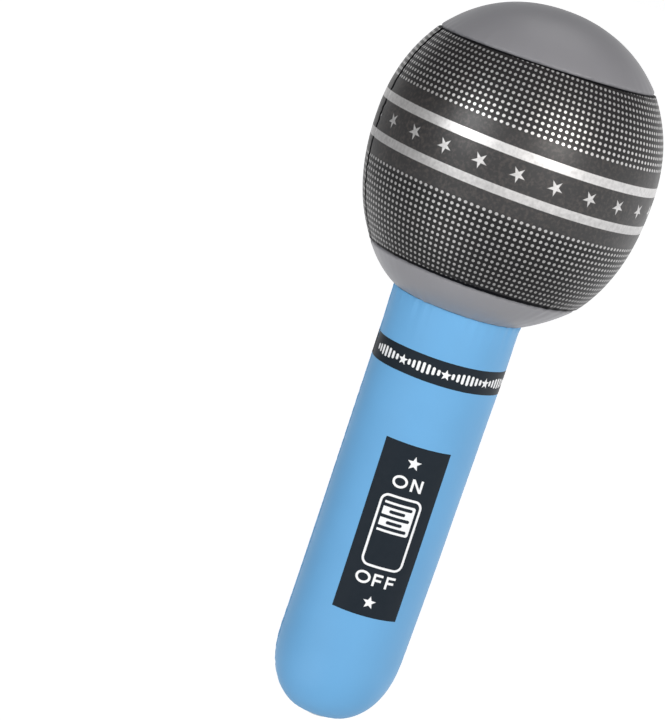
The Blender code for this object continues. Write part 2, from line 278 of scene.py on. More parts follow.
class Graph:
    """A material's node tree, with short calls for the nodes that these materials use."""

    def __init__(self, name):
        self.material = bpy.data.materials.new(name)
        self.material.use_nodes = True
        self.tree = self.material.node_tree
        self.shader = self.tree.nodes["Principled BSDF"]

    def feed(self, socket, value):
        if isinstance(value, bpy.types.NodeSocket):
            self.tree.links.new(value, socket)
        else:
            socket.default_value = value

    def set(self, name, value):
        self.feed(self.shader.inputs[name], value)

    def math(self, operation, *values):
        node = self.tree.nodes.new("ShaderNodeMath")
        node.operation = operation
        for socket, value in zip(node.inputs, values):
            self.feed(socket, value)
        return node.outputs[0]

    def step(self, value, low, high):
        """0 below low, 1 above high, and smooth between; low above high turns it round."""
        node = self.tree.nodes.new("ShaderNodeMapRange")
        node.interpolation_type = "SMOOTHSTEP"
        turned_round = low > high
        ends = (high, low, 1.0, 0.0) if turned_round else (low, high, 0.0, 1.0)
        for name, end in zip(("From Min", "From Max", "To Min", "To Max"), ends):
            node.inputs[name].default_value = end
        self.feed(node.inputs["Value"], value)
        return node.outputs["Result"]

    def between(self, value, low, high):
        """A value from 0 to 1 spread over low to high."""
        node = self.tree.nodes.new("ShaderNodeMapRange")
        node.inputs["To Min"].default_value = low
        node.inputs["To Max"].default_value = high
        self.feed(node.inputs["Value"], value)
        return node.outputs["Result"]

    def blend(self, share, first, second):
        node = self.tree.nodes.new("ShaderNodeMix")
        node.data_type = "RGBA"
        self.feed(node.inputs["Factor"], share)
        for socket, value in ((node.inputs[6], first), (node.inputs[7], second)):
            self.feed(socket, (*value, 1.0) if isinstance(value, tuple) else value)
        return node.outputs[2]

    def noise(self, size, detail=2.0, stretch=None):
        """Noise whose features are about size millimetres across; stretch scales each axis."""
        place = self.tree.nodes.new("ShaderNodeTexCoord").outputs["Object"]
        if stretch:
            mapping = self.tree.nodes.new("ShaderNodeMapping")
            mapping.inputs["Scale"].default_value = stretch
            self.tree.links.new(place, mapping.inputs["Vector"])
            place = mapping.outputs["Vector"]
        node = self.tree.nodes.new("ShaderNodeTexNoise")
        node.inputs["Scale"].default_value = 1.0 / (size * MM)
        node.inputs["Detail"].default_value = detail
        self.tree.links.new(place, node.inputs["Vector"])
        return node.outputs["Fac"]

    def attribute(self, name, output="Fac"):
        node = self.tree.nodes.new("ShaderNodeAttribute")
        node.attribute_name = name
        return node.outputs[output]

    def bump(self, height, depth, strength=1.0):
        """Relief of depth millimetres, added to the relief that the material already has."""
        node = self.tree.nodes.new("ShaderNodeBump")
        node.inputs["Distance"].default_value = depth * MM
        node.inputs["Strength"].default_value = strength
        self.feed(node.inputs["Height"], height)
        previous = self.shader.inputs["Normal"]
        if previous.is_linked:
            self.tree.links.new(previous.links[0].from_socket, node.inputs["Normal"])
        self.tree.links.new(node.outputs["Normal"], previous)


def film_surface(graph, gloss):
    """Roughness and relief of calendered vinyl film: a fine grain, soft waves and rubbed patches."""
    weld = graph.attribute("weld")
    rubbed = graph.noise(14.0, 3.0)
    streaks = graph.noise(5.0, 2.0, (1.0, 1.0, 0.18))
    roughness = graph.between(rubbed, gloss - 0.05, gloss + 0.07)
    roughness = graph.math("MULTIPLY_ADD", streaks, 0.08, roughness)
    graph.set("Roughness", graph.math("MULTIPLY_ADD", weld, 0.12, roughness))
    graph.bump(graph.noise(0.5, 3.0), 0.012)
    graph.bump(graph.noise(7.0, 2.0), 0.10)
    return weld


def plain_vinyl(name, colour, weld_and_shade_colour, gloss, shine):
    """Coloured film, a little uneven in colour and darker along the welds: heat-marked film there, and
    painted shade of the welds' creases.
    """
    graph = Graph(name)
    graph.set("Specular IOR Level", shine)
    weld = film_surface(graph, gloss)
    lighter = tuple(min(1.0, channel * 1.06) for channel in colour)
    darker = tuple(channel * 0.94 for channel in colour)
    ground = graph.blend(graph.noise(22.0, 2.0), darker, lighter)
    # darker along the welds: partly heat-marked film, partly painted shade of the welds' creases
    pressed_and_shaded = graph.math("ADD", weld, graph.between(graph.noise(1.6, 3.0), -0.3, 0.3))
    pressed_and_shaded = graph.math("MULTIPLY", graph.step(pressed_and_shaded, 0.15, 0.7), 0.7)
    graph.set("Base Color", graph.blend(pressed_and_shaded, ground, weld_and_shade_colour))
    return graph.material


def star_mask(graph, across, upward, radius, inner):
    """1 inside a five-pointed star with a tip pointing down; inner is its notches' radius."""
    fifth = math.tau / 5
    lean = math.atan2(radius - inner * math.cos(fifth / 2), inner * math.sin(fifth / 2))
    angle = graph.math("ARCTAN2", across, graph.math("MULTIPLY", upward, -1.0))
    folded = graph.math("ABSOLUTE", graph.math("WRAP", angle, fifth / 2, -fifth / 2))
    squares = graph.math("MULTIPLY_ADD", upward, upward, graph.math("MULTIPLY", across, across))
    reach = graph.math("SQRT", squares)
    outward = graph.math("MULTIPLY", reach, graph.math("COSINE", graph.math("SUBTRACT", folded, lean)))
    edge, soft = radius * math.cos(lean), 0.12
    return graph.step(outward, edge + soft, edge - soft)


def grille_print():
    """Charcoal film printed with silver ink: a lattice of dots, two stripes and a ring of stars."""
    graph = Graph("grille_print")
    weld = film_surface(graph, 0.35)
    split = graph.tree.nodes.new("ShaderNodeSeparateXYZ")
    graph.tree.links.new(graph.attribute("print_place", "Vector"), split.inputs[0])
    column, row, height = split.outputs
    ragged = graph.between(graph.noise(0.35, 1.0), -0.07, 0.07)

    across = graph.math("DIVIDE", graph.math("WRAP", column, 0.5, -0.5), DOT_HALF[0])
    upward = graph.math("DIVIDE", graph.math("WRAP", row, 0.5, -0.5), DOT_HALF[1])
    squares = graph.math("MULTIPLY_ADD", across, across, graph.math("MULTIPLY", upward, upward))
    reach = graph.math("ADD", graph.math("SQRT", squares), graph.math("MULTIPLY", ragged, 1.6))
    dots = graph.math("MULTIPLY", graph.step(reach, 1.18, 0.78), graph.math("GREATER_THAN", row, -0.5))
    in_field = graph.step(row, -0.9, 0.9)
    # Beside the welds the print turns near black and barely reflects: partly the print's black margin, partly
    # painted shade of the welds' creases.
    edge = graph.step(weld, 0.11, 0.19)
    silver = graph.math("MULTIPLY", dots, graph.math("SUBTRACT", 1.0, edge))

    for middle, half_width in STRIPES:
        offset = graph.math("ABSOLUTE", graph.math("SUBTRACT", height, middle))
        stripe = graph.step(graph.math("ADD", offset, ragged), half_width + 0.1, half_width - 0.1)
        silver = graph.math("MAXIMUM", silver, stripe)

    cell = graph.math("WRAP", graph.math("DIVIDE", column, STAR_COLUMNS), 0.5, -0.5)
    across = graph.math("MULTIPLY", cell, STAR_COLUMNS * DOT_COLUMN * HEAD_RADIUS)
    upward = graph.math("SUBTRACT", height, STAR_HEIGHT)
    silver = graph.math("MAXIMUM", silver, star_mask(graph, across, upward, STAR_TIP, STAR_NOTCH))

    mottle = graph.step(graph.noise(1.1, 4.0), 0.42, 0.72)
    ground = graph.blend(mottle, (0.0125, 0.0118, 0.0125), (0.044, 0.037, 0.034))
    # The ground between the dots is painted lighter higher up and darker lower down: painted light and shade.
    upper = graph.step(height, 180.0, 222.0)
    field_ground_painted_light = graph.blend(upper, (0.0040, 0.0037, 0.0042), (0.0165, 0.0152, 0.0158))
    ground = graph.blend(in_field, ground, field_ground_painted_light)
    # near black beside the welds: print margin and painted shade of the crease
    ground = graph.blend(edge, ground, (0.002, 0.002, 0.003))
    # the silver ink's brightness: uneven at random, and darker towards the bottom of the head
    silver_tone = graph.math("MULTIPLY", graph.between(graph.noise(1.3, 3.0), 0.55, 1.25),
                       graph.between(graph.step(height, 166.0, 212.0), 0.56, 1.05))
    silver_ink = graph.blend(silver_tone, (0.08, 0.078, 0.08), (0.74, 0.73, 0.725))
    graph.set("Base Color", graph.blend(silver, ground, silver_ink))
    graph.set("Metallic", graph.math("MULTIPLY", silver, 0.87))
    bare = graph.math("SUBTRACT", 1.0, silver)
    shine = graph.between(graph.math("MULTIPLY", in_field, bare), 0.7, 0.34)
    graph.set("Specular IOR Level", graph.math("MULTIPLY", shine, graph.between(edge, 1.0, 0.15)))
    graph.bump(silver, 0.02)
    return graph.material


def ink(name, dark, light, roughness, gloss):
    """Screen-printed ink, slightly uneven in tone and gloss."""
    graph = Graph(name)
    graph.set("Specular IOR Level", gloss)
    graph.set("Base Color", graph.blend(graph.noise(2.5, 3.0), dark, light))
    graph.set("Roughness", graph.between(graph.noise(4.0, 2.0), roughness - 0.05, roughness + 0.06))
    graph.bump(graph.noise(0.25, 2.0), 0.006)
    graph.bump(graph.noise(7.0, 2.0), 0.06)
    return graph.material


def valve_plastic(name, colour, roughness, clearness):
    """Soft moulded plastic: milky, with flow marks and a fine grain."""
    graph = Graph(name)
    pale = tuple(min(1.0, channel * 1.08) for channel in colour)
    graph.set("Base Color", graph.blend(graph.noise(3.0, 3.0), colour, pale))
    graph.set("Roughness", graph.between(graph.noise(1.6, 3.0), roughness - 0.06, roughness + 0.08))
    graph.set("Transmission Weight", clearness)
    graph.set("IOR", 1.5)
    graph.bump(graph.noise(0.22, 2.0), 0.008)
    graph.bump(graph.noise(1.8, 1.0), 0.03)
    return graph.material


# ---- the film's surface ----

def smooth(share):
    share = np.clip(share, 0.0, 1.0)
    return share * share * (3.0 - 2.0 * share)


class Profile:
    """A turned outline, from its lower end up: radius and height against distance along it."""

    def __init__(self, radius, height):
        self.radius = radius
        self.height = height
        steps = np.hypot(np.diff(radius), np.diff(height))
        self.along = np.concatenate([[0.0], np.cumsum(steps)])
        self.length = self.along[-1]

    def at(self, distance):
        return np.interp(distance, self.along, self.radius), np.interp(distance, self.along, self.height)

    def distance(self, height):
        return np.interp(height, self.height, self.along)

    def outward(self, distance):
        """Unit vector out of the toy, as (radial, upward)."""
        reach = 0.4
        low = np.clip(distance - reach, 0.0, self.length - 2 * reach)
        before, after = self.at(low), self.at(low + 2 * reach)
        run, rise = after[0] - before[0], after[1] - before[1]
        size = np.hypot(run, rise)
        return rise / size, -run / size


def quarter(radius, depth, power, first, last, steps=900):
    """Radii and depths along a quarter superellipse, between two depths."""
    ends = [math.asin(min(1.0, end / depth) ** (power / 2)) for end in (first, last)]
    angle = np.linspace(*ends, steps)
    cosine = np.clip(np.cos(angle), 0.0, 1.0)
    return radius * cosine ** (2 / power), depth * np.sin(angle) ** (2 / power)


def head_profile():
    """From the neck to the crown."""
    share = 1 - (NECK_RADIUS / HEAD_RADIUS) ** LOWER_POWER
    neck_depth = LOWER_DEPTH * share ** (1 / LOWER_POWER)
    low_radius, low_depth = quarter(HEAD_RADIUS, LOWER_DEPTH, LOWER_POWER, 0.0, neck_depth)
    up_radius, up_depth = quarter(HEAD_RADIUS, UPPER_DEPTH, UPPER_POWER, 0.0, UPPER_DEPTH)
    radius = np.concatenate([low_radius[::-1], up_radius[1:]])
    height = np.concatenate([WIDEST - low_depth[::-1], WIDEST + up_depth[1:]])
    return Profile(radius, height)


def handle_profile(neck):
    """From the edge of the end patch, round the end and up to the neck."""
    share = (PATCH_RADIUS / END_RADIUS) ** ROUND_POWER
    edge = ROUND_END * (1 - (1 - share) ** (1 / ROUND_POWER))
    radius, depth = quarter(END_RADIUS, ROUND_END, ROUND_POWER, 0.0, ROUND_END - edge)
    tube_radius = np.linspace(END_RADIUS, NECK_RADIUS, 400)
    tube_height = np.linspace(ROUND_END, neck, 400)
    return Profile(np.concatenate([radius[::-1], tube_radius[1:]]),
                   np.concatenate([ROUND_END - depth[::-1], tube_height[1:]]))


HEAD = head_profile()
NECK = HEAD.height[0]
HANDLE = handle_profile(NECK)


def ripple(seed, slowest, fastest, terms=9):
    """A periodic, irregular wave of an angle, about 1 high, with whole numbers of waves a turn."""
    draw = random.Random(seed)
    waves = [(draw.randint(slowest, fastest), draw.uniform(0, math.tau)) for _ in range(terms)]

    def value(angle):
        return sum(np.sin(count * angle + phase) for count, phase in waves) / math.sqrt(terms)
    return value


CAP_PUCKER = ripple(3, 18, 60)
COLLAR_PUCKER = ripple(5, 22, 64)
NECK_PUCKER = ripple(8, 16, 44)
NECK_NICK = ripple(21, 30, 90)
FOLD = ripple(52, 3, 9, 6)
SIDE_PUCKER = ripple(13, 24, 70)
SWELL = [(ripple(31 + k, 1 + k, 4 + 2 * k, 4), ripple(61 + k, 1 + k, 5 + k, 4)) for k in range(3)]


def crease(distance, depth=CREASE_DEPTH):
    """Depth of the fold where two pieces of film are welded."""
    return depth * np.clip(1 - distance / CREASE_WIDTH, 0.0, 1.0) ** 2


def pucker(distance, wave, gathers):
    """Gathers that run out square to a weld and fade away from it."""
    height, reach = gathers
    return height * wave * np.exp(-distance / reach) * smooth(distance / GATHER_START)


def swell(turn, distance):
    """Broad unevenness of the blown-up film."""
    return SWELL_HEIGHT * sum(around(turn) * along(distance / SWELL_RUN) for around, along in SWELL)


def beside(turn, seams, radius):
    """Distance along the film from the nearer of two side seams."""
    gaps = [np.abs((turn - seam + math.pi) % math.tau - math.pi) for seam in seams]
    return radius * np.minimum(*gaps)


def cap_seam(turn):
    """Where the cap's seam lies along the head's profile."""
    radius = HEAD.at(HEAD.distance(CAP_SEAM))[0]
    return HEAD.distance(CAP_SEAM + CAP_SEAM_SLOPE * radius * np.sin(turn - LEAN_WAY))


def head_relief(turn, distance):
    """How far the head's film stands out of its smooth profile, and how near a weld it is."""
    radius = HEAD.at(distance)[0]
    collar_along = HEAD.distance(COLLAR_SEAM)
    cap = np.abs(distance - cap_seam(turn))
    collar = np.abs(distance - collar_along)
    side = beside(turn, HEAD_SEAMS, radius)
    on_panels = (smooth((distance - collar_along) / PANEL_END)
                 * smooth((cap_seam(turn) - distance) / PANEL_END))
    relief = -crease(cap) - crease(collar) - crease(distance, NECK_CREASE) - crease(side) * on_panels
    relief += pucker(cap, CAP_PUCKER(turn), HEAD_GATHERS)
    relief += pucker(collar, COLLAR_PUCKER(turn), HEAD_GATHERS)
    relief += pucker(distance, NECK_PUCKER(turn), COLLAR_NECK_GATHERS)
    relief += pucker(side, SIDE_PUCKER(distance / HEAD_SIDE_RUN), HEAD_SIDE_GATHERS) * on_panels
    relief += swell(turn, distance) * smooth((HEAD.length - distance) / CROWN_CALM)
    collar = np.where(distance > collar_along, COLLAR_SHARE * collar, collar)
    side = side / np.maximum(on_panels, 0.01)
    nearest = np.minimum(np.minimum(cap, collar), np.minimum(distance + NECK_PALER, side))
    return relief, np.exp(-nearest / WELD_FADE)


def handle_relief(turn, distance):
    """The same for the handle's film."""
    radius = HANDLE.at(distance)[0]
    neck = HANDLE.length - distance
    side = beside(turn, HANDLE_SEAMS, radius)
    relief = -crease(neck, NECK_CREASE) - crease(distance) - crease(side, HANDLE_SIDE_CREASE)
    relief += pucker(neck, NECK_PUCKER(turn), HANDLE_NECK_GATHERS) + pucker(neck, NECK_NICK(turn), NECK_NICKS)
    relief += pucker(distance, CAP_PUCKER(turn), ROUND_END_GATHERS)
    relief += pucker(side, SIDE_PUCKER(distance / HANDLE_SIDE_RUN), HANDLE_SIDE_GATHERS)
    folds = FOLD_HEIGHT * FOLD(turn + distance / FOLD_TWIST)
    relief += (swell(turn, distance + SWELL_SHIFT) + folds) * smooth(distance / ROUND_END_CALM)
    nearest = np.minimum(neck + NECK_PALER, np.minimum(distance, side))
    return relief, np.exp(-nearest / WELD_FADE)


def posture(x, y, height):
    """Bends the straight toy as it holds itself: sideways along the handle, leaning at the neck."""
    below = np.clip((NECK - height) / NECK, 0.0, 1.0)
    sideways = HANDLE_BEND * (1 - below ** 2) + HEAD_SHIFT * smooth((height - NECK) / SHIFT_RISE)
    lean = HEAD_LEAN * smooth((height - NECK + LEAN_RISE) / LEAN_RISE)
    rise = height - NECK
    across = x * math.cos(LEAN_WAY) + y * math.sin(LEAN_WAY)
    square = y * math.cos(LEAN_WAY) - x * math.sin(LEAN_WAY)
    moved = across * np.cos(lean) + rise * np.sin(lean) + sideways
    height = NECK + rise * np.cos(lean) - across * np.sin(lean)
    return (moved * math.cos(LEAN_WAY) - square * math.sin(LEAN_WAY),
            moved * math.sin(LEAN_WAY) + square * math.cos(LEAN_WAY), height)


def film_points(profile, relief, turn, distance, lift=0.0):
    """World places, in metres, of points of the film; lift raises them off it."""
    radius, height = profile.at(distance)
    radial, upward = profile.outward(distance)
    raised = relief(turn, distance)[0] + lift
    radius = radius + radial * raised
    height = height + upward * raised
    x, y, height = posture(radius * np.sin(turn), -radius * np.cos(turn), height)
    return np.stack([x * MM, y * MM, height * MM + BOTTOM], axis=-1)


# ---- meshes ----

def box_outline(half_width, half_height):
    return [(-half_width, -half_height), (half_width, -half_height),
            (half_width, half_height), (-half_width, half_height)]


def spread(length, finest, coarsest):
    """Places from 0 to length, close together at both ends."""
    growth = 1.3
    ends = [0.0]
    step = finest
    while step < coarsest and ends[-1] + step < length / 2:
        ends.append(ends[-1] + step)
        step *= growth
    middle = length - 2 * ends[-1]
    count = max(1, round(middle / coarsest))
    inner = [ends[-1] + middle * k / count for k in range(1, count)]
    return np.array(ends + inner + [length - end for end in reversed(ends)])


def link(name, mesh, material):
    mesh.materials.append(material)
    mesh.shade_smooth()
    item = bpy.data.objects.new(name, mesh)
    bpy.context.scene.collection.objects.link(item)
    return item


def thicken(item, thickness):
    """Gives a sheet its thickness, inwards."""
    sheet = item.modifiers.new("thickness", "SOLIDIFY")
    sheet.thickness = thickness * MM
    sheet.offset = -1.0


def grid_mesh(name, points, closed):
    """Quads over a grid of points; closed joins the last column to the first."""
    columns, rows = points.shape[:2]
    mesh = bpy.data.meshes.new(name)
    last = columns if closed else columns - 1
    faces = [(c * rows + r, (c + 1) % columns * rows + r, (c + 1) % columns * rows + r + 1, c * rows + r + 1)
             for c in range(last) for r in range(rows - 1)]
    mesh.from_pydata(points.reshape(-1, 3).tolist(), [], faces)
    return mesh


def merge_doubles(mesh):
    """Merges the points that lie on each other, on the crown and in the panels' corners."""
    merged = bmesh.new()
    merged.from_mesh(mesh)
    bmesh.ops.remove_doubles(merged, verts=merged.verts[:], dist=1e-6)
    merged.to_mesh(mesh)
    merged.free()


def print_place(turn, distance, middle):
    """Dot column, dot row and print height of points on the head; middle is the print's angle."""
    radius, height = HEAD.at(distance)
    printed = height + PRINT_SLOPE * radius * np.sin(turn - LEAN_WAY)
    along = HEAD.distance(printed)
    above = (along - HEAD.distance(FIRST_ROW_ABOVE)) / DOT_ROW
    beneath = (HEAD.distance(FIRST_ROW_BELOW) - along) / DOT_ROW
    row = np.where(printed > WIDEST, above, beneath)
    return np.stack([(turn - middle) / DOT_COLUMN, row, printed], axis=-1)


def film(name, profile, relief, turns, low, high, material, closed, lips=(True, True)):
    """A piece of film between the distances low and high along a profile, with its weld lips.

    low and high are functions of the angle. The attribute weld is 1 at a weld and fades away
    from it; print_place says where a point of the head lies in the print.
    """
    span = float(high(turns.mean()) - low(turns.mean()))
    shares = spread(span, *ROW_SPACING) / span
    turn, share = np.meshgrid(turns, shares, indexing="ij")
    start, end = low(turn) + WELD_GAP, high(turn) - WELD_GAP
    distance = np.clip(start + (end - start) * share, 0.0, profile.length)
    points = film_points(profile, relief, turn, distance)
    weld = relief(turn, distance)[1]
    inner = film_points(profile, relief, turn, distance, -LIP)
    pieces = [(inner[:, :1], turn[:, :1], distance[:, :1], weld[:, :1])] if lips[0] else []
    pieces.append((points, turn, distance, weld))
    if lips[1]:
        pieces.append((inner[:, -1:], turn[:, -1:], distance[:, -1:], weld[:, -1:]))
    points, turn, distance, weld = (np.concatenate(group, axis=1) for group in zip(*pieces))
    if not closed:
        first, last = (film_points(profile, relief, turn[side], distance[side], -LIP) for side in (0, -1))
        points = np.concatenate([first[None], points, last[None]])
        turn, distance, weld = (np.concatenate([part[:1], part, part[-1:]])
                                for part in (turn, distance, weld))
    mesh = grid_mesh(name, points, closed)
    mesh.attributes.new("weld", "FLOAT", "POINT").data.foreach_set("value", weld.ravel())
    if profile is HEAD:
        at_back = turns.mean() > math.pi / 2
        place = print_place(turn, distance, FIRST_COLUMN + (math.pi if at_back else 0.0))
        attribute = mesh.attributes.new("print_place", "FLOAT_VECTOR", "POINT")
        attribute.data.foreach_set("vector", place.ravel())
    merge_doubles(mesh)
    item = link(name, mesh, material)
    thicken(item, FILM)
    return item


def panel_turns(seams, radius, spacing):
    """Angles across a panel between two side seams, close together beside the seams."""
    span = seams[1] - seams[0]
    places = spread(radius * span, *spacing)
    gap = WELD_GAP / radius
    return np.clip(seams[0] + places / radius, seams[0] + gap, seams[1] - gap)


def ring_turns(count):
    return np.arange(count) * math.tau / count


def edge_at(distance):
    """A level edge of a piece, as a function of the angle."""
    return lambda turn: np.full_like(turn, distance)


def build_head(grey, printed):
    neck = edge_at(0.0)
    collar = edge_at(HEAD.distance(COLLAR_SEAM))
    crown = edge_at(HEAD.length + WELD_GAP)  # no weld there, so its gap is undone
    left, right = HEAD_SEAMS
    ring = ring_turns(RING_COLUMNS)
    front_turns = panel_turns((left, right), HEAD_RADIUS, HEAD_COLUMNS)
    back_turns = panel_turns((right, left + math.tau), HEAD_RADIUS, HEAD_COLUMNS)
    cap = film("head_cap_film", HEAD, head_relief, ring, cap_seam, crown, grey, True, (True, False))
    front = film("head_front_film", HEAD, head_relief, front_turns, collar, cap_seam, printed, False)
    back = film("head_back_film", HEAD, head_relief, back_turns, collar, cap_seam, printed, False)
    base = film("head_collar_film", HEAD, head_relief, ring, neck, collar, grey, True)
    for item, node, finish in ((cap, "head_top_cap", "grey_vinyl"),
                               (front, "head_front_panel", "grille_vinyl"),
                               (back, "head_back_panel", "grille_vinyl"),
                               (base, "head_collar", "grey_vinyl")):
        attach(item, "envelope")
        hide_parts(node)


def build_handle(blue):
    patch, neck = edge_at(0.0), edge_at(HANDLE.length)
    left, right = HANDLE_SEAMS
    halves = (("handle_front_film", (left, right), "handle_front_panel"),
              ("handle_back_film", (right, left + math.tau), "handle_back_panel"))
    for name, seams, node in halves:
        turns = panel_turns(seams, NECK_RADIUS, HANDLE_COLUMNS)
        item = film(name, HANDLE, handle_relief, turns, patch, neck, blue, False)
        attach(item, "envelope")
        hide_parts(node)


# ---- the print on the handle ----

def star_outline(centre, radius, inner):
    reaches = [(radius, inner)[k % 2] for k in range(10)]
    angles = [math.tau * k / 10 for k in range(10)]
    return [(centre[0] + reach * math.sin(angle), centre[1] + reach * math.cos(angle))
            for reach, angle in zip(reaches, angles)]


def oval(centre, width, height, steps=40):
    return [(centre[0] + width / 2 * math.cos(math.tau * k / steps),
             centre[1] + height / 2 * math.sin(math.tau * k / steps)) for k in range(steps)]


def rounded_box(left, bottom, right, top, corner, steps=6):
    points = []
    centres = ((right - corner, top - corner), (left + corner, top - corner),
               (left + corner, bottom + corner), (right - corner, bottom + corner))
    for quarter_turn, (x, y) in enumerate(centres):
        for k in range(steps + 1):
            angle = math.pi / 2 * (quarter_turn + k / steps)
            points.append((x + corner * math.cos(angle), y + corner * math.sin(angle)))
    return points


def letter_o(x, y, height, stroke):
    width = height * 1.18
    return [oval((x, y), width, height), oval((x, y), width - 2 * stroke, height - 2 * stroke)]


def letter_n(x, y, height, stroke):
    half, top = height * 0.44, height / 2
    slant = stroke * 1.55
    return [[(x - half, y - top), (x - half, y + top), (x - half + stroke, y + top),
             (x + half - stroke, y - top + slant), (x + half - stroke, y + top), (x + half, y + top),
             (x + half, y - top), (x + half - stroke, y - top), (x - half + stroke, y + top - slant),
             (x - half + stroke, y - top)]]


def letter_f(x, y, height, stroke):
    half, top = height * 0.36, height / 2
    arm = y + stroke * 0.42
    return [[(x - half, y - top), (x - half, y + top), (x + half, y + top), (x + half, y + top - stroke),
             (x - half + stroke, y + top - stroke), (x - half + stroke, arm), (x + half * 0.8, arm),
             (x + half * 0.8, arm - stroke), (x - half + stroke, arm - stroke), (x - half + stroke, y - top)]]


def knob_outline(left, bottom, right, top, line):
    """The switch's knob: a block with three long grooves open to the left and two short closed ones."""
    groove = (top - bottom - 6 * line) / 5
    end = groove / 2
    corner = 0.8
    points = [(left, bottom)]
    for middle, first in (((right - corner, bottom + corner), -0.5), ((right - corner, top - corner), 0.0)):
        points += [(middle[0] + corner * math.cos(math.pi * (first + k / 10)),
                    middle[1] + corner * math.sin(math.pi * (first + k / 10))) for k in range(6)]
    points.append((left, top))
    closed = []
    for number in range(5):
        high = top - line - number * (line + groove)
        centre = high - end
        if number % 2:
            closed.append(rounded_box(left + 2.3, high - groove, right - 2.9, high, end * 0.98))
            continue
        points.append((left, high))
        for k in range(9):
            angle = math.pi * k / 8
            points.append((right - 0.9 - end + end * math.sin(angle), centre + end * math.cos(angle)))
        points.append((left, high - groove))
    return [points, *closed]


def printed_shape(name, outlines, middle, skew, lift, material, cuts=(0.8, 2.5)):
    """Flat outlines, in millimetres across and up the handle, laid on its film as a coat of ink.

    cuts are the spacings across and up at which the shape is cut, so that it can bend.
    """
    curve = bpy.data.curves.new(name, "CURVE")
    curve.dimensions = "2D"
    curve.fill_mode = "BOTH"
    for outline in outlines:
        spline = curve.splines.new("POLY")
        spline.points.add(len(outline) - 1)
        for point, (x, y) in zip(spline.points, outline):
            point.co = (x, y, 0.0, 1.0)
        spline.use_cyclic_u = True
    flat = bpy.data.objects.new(name + "_flat", curve)
    mesh = bpy.data.meshes.new_from_object(flat)
    bpy.data.objects.remove(flat)
    shape = bmesh.new()
    shape.from_mesh(mesh)
    corners = np.array([vertex.co for vertex in shape.verts])
    for axis, spacing in ((0, cuts[0]), (1, cuts[1])):
        low, high = corners[:, axis].min(), corners[:, axis].max()
        normal = Vector((1.0 - axis, axis, 0.0))
        for k in range(math.ceil(low / spacing), math.floor(high / spacing) + 1):
            everything = shape.verts[:] + shape.edges[:] + shape.faces[:]
            bmesh.ops.bisect_plane(shape, geom=everything, dist=1e-5, plane_co=normal * (k * spacing),
                                   plane_no=normal)
    sliver = 0.004
    bmesh.ops.remove_doubles(shape, verts=shape.verts[:], dist=sliver)
    shape.normal_update()
    shape.edges.index_update()
    if sum(face.normal.z for face in shape.faces) < 0:
        bmesh.ops.reverse_faces(shape, faces=shape.faces)
    rim = [edge.index for edge in shape.edges if edge.is_boundary]
    shape.to_mesh(mesh)
    shape.free()
    flat_points = np.array([vertex.co for vertex in mesh.vertices])
    distance = HANDLE.distance(flat_points[:, 1] + middle)
    turn = flat_points[:, 0] / HANDLE.at(distance)[0] + skew * flat_points[:, 1]
    points = film_points(HANDLE, handle_relief, turn, distance, lift)
    mesh.vertices.foreach_set("co", points.astype(np.float32).ravel())
    mesh.update()
    item = link(name, mesh, material)
    for index in rim:
        mesh.edges[index].use_edge_sharp = True
    thicken(item, INK)
    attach(item, "envelope")


def build_label(black, white):
    ground = box_outline(LABEL_SIZE[0] / 2, LABEL_SIZE[1] / 2)

    def mark(name, outlines):
        printed_shape(name, outlines, LABEL_MIDDLE, LABEL_SKEW, MARK_LIFT, white)

    printed_shape("label_ground", [ground], LABEL_MIDDLE, LABEL_SKEW, GROUND_LIFT, black)
    mark("label_star_upper", [star_outline((0.0, 24.2), 2.45, 1.05)])
    mark("label_star_lower", [star_outline((0.0, -25.0), 2.3, 1.0)])
    size, upper, lower = (4.35, 0.82), 17.15, -17.05
    mark("label_word_on", letter_o(-2.6, upper, *size) + letter_n(3.1, upper, *size))
    mark("label_word_off", letter_o(-4.6, lower, *size) + letter_f(0.35, lower, *size)
         + letter_f(4.7, lower, *size))
    side, top, bottom, corner, line = 7.15, 12.4, -13.0, 2.8, 0.8
    inside = rounded_box(line - side, bottom + line, side - line, top - line, corner - line)
    mark("switch_outline", [rounded_box(-side, bottom, side, top, corner), inside])
    mark("switch_knob", knob_outline(-5.3, -0.5, 5.3, 9.9, line))


def band_marks(width):
    """Groups of seven sound-level bars, tallest in the middle, with a star between the groups."""
    outlines = []
    pitch, half_bar, group = 1.75, 0.5, 15.4
    shortest, taller = 0.85, 0.95
    count = int(width / group)
    for k in range(count):
        middle = (k - (count - 1) / 2) * group
        for bar in range(-3, 4):
            x = middle + bar * pitch
            half = shortest + taller * math.cos(bar * math.pi / 8) ** 2
            outlines.append(rounded_box(x - half_bar, -half, x + half_bar, half, half_bar * 0.95, 4))
        if k < count - 1:
            outlines.append(star_outline((middle + group / 2, -0.1), 1.85, 0.8))
    return outlines


def build_band(black, white):
    """The dark ring under the neck, printed on each half of the handle up to the side seams."""
    radius = HANDLE.at(HANDLE.distance(BAND_MIDDLE))[0]
    margin = 0.35
    width = (HANDLE_SEAMS[1] - HANDLE_SEAMS[0]) / 2 * radius - margin
    ground = box_outline(width, BAND_HEIGHT / 2)
    marks = band_marks(2 * width - 3.0)
    for name, turned in (("front", 0.0), ("back", math.pi)):
        back, fore = ([[(x + turned * radius, y) for x, y in outline] for outline in outlines]
                      for outlines in ([ground], marks))
        printed_shape("band_ground_" + name, back, BAND_MIDDLE, 0.0, GROUND_LIFT, black, (0.5, 2.5))
        printed_shape("band_marks_" + name, fore, BAND_MIDDLE, 0.0, MARK_LIFT, white)


# ---- the valve ----

